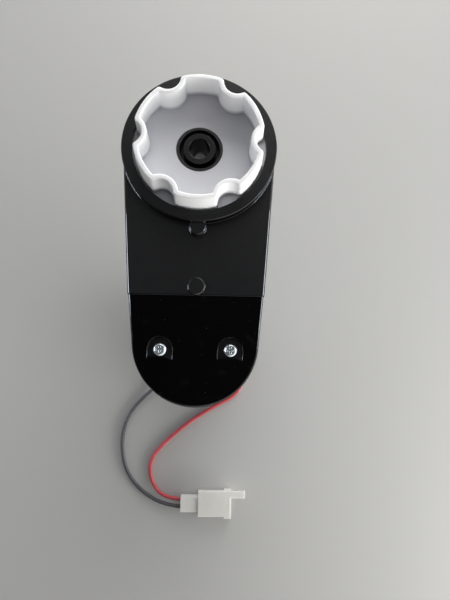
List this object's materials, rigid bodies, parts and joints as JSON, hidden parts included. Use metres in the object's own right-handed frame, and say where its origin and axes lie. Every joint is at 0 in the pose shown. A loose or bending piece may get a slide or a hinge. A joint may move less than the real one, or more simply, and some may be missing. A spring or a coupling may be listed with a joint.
{
  "type": "gear motor",
  "caption": "Drive gearbox of a ride-on toy: flat black case with a white lobed output coupler round an axle bore, an upright motor beneath and leads to a small plug.",
  "frame": {"origin": "on the axis of the axle bore, at the plane where the two case halves meet", "axes": "+Z along the axle bore, out through the coupler; -Y from the axle bore to the motor; +X to the right in the picture"},
  "size_m": [0.0784, 0.2106, 0.106],
  "materials": {
    "black_case": "satin",
    "white_nylon": "satin",
    "black_acetal": "satin",
    "zinc_steel": "satin",
    "plain_steel": "satin",
    "motor_steel": "satin",
    "bronze": "satin",
    "brass": "satin",
    "copper": "satin",
    "ferrite": "matte",
    "carbon": "matte",
    "endbell_plastic": "matte",
    "black_pvc": "satin",
    "red_pvc": "satin",
    "plug_nylon": "satin"
  },
  "bodies": {
    "case": {"front_shell": "black_case", "rear_shell": "black_case", "motor_cap": "black_case", "front_case_screws": "zinc_steel", "rear_case_screws": "zinc_steel", "motor_screws": "zinc_steel", "idler_pin_1": "plain_steel", "idler_pin_2": "plain_steel", "thrust_washer": "plain_steel", "brush_springs": "plain_steel", "motor_can": "motor_steel", "front_motor_bearing": "bronze", "rear_motor_bearing": "bronze", "motor_terminals": "brass", "plug_contacts": "brass", "motor_magnets": "ferrite", "carbon_brushes": "carbon", "motor_endbell": "endbell_plastic", "black_lead": "black_pvc", "red_lead": "red_pvc", "plug_housing": "plug_nylon"},
    "output": {"output_gear": "white_nylon", "output_bush": "black_acetal"},
    "idler_2": {"idler_gear_2": "white_nylon"},
    "idler_1": {"idler_gear_1": "white_nylon"},
    "rotor": {"motor_shaft": "plain_steel", "motor_pinion": "brass", "armature_core": "plain_steel", "armature_windings": "copper", "commutator_hub": "endbell_plastic", "commutator_bars": "copper"}
  },
  "joints": [
    {"name": "motor_spin", "type": "hinge", "parent": "case", "child": "rotor", "pos_m": [0, -0.0832, 0], "axis": [0, 0, 1], "continuous": true},
    {"name": "idler_1_spin", "type": "hinge", "parent": "case", "child": "idler_1", "pos_m": [0, -0.06, 0], "axis": [0, 0, 1], "continuous": true},
    {"name": "idler_2_spin", "type": "hinge", "parent": "case", "child": "idler_2", "pos_m": [0, -0.035, 0], "axis": [0, 0, 1], "continuous": true},
    {"name": "output_spin", "type": "hinge", "parent": "case", "child": "output", "pos_m": [0, 0, 0], "axis": [0, 0, 1], "continuous": true}
  ],
  "couplings": [
    {"joint": "idler_1_spin", "follows": "motor_spin", "ratio": -0.20833},
    {"joint": "idler_2_spin", "follows": "motor_spin", "ratio": 0.052083},
    {"joint": "output_spin", "follows": "motor_spin", "ratio": -0.012731}
  ]
}
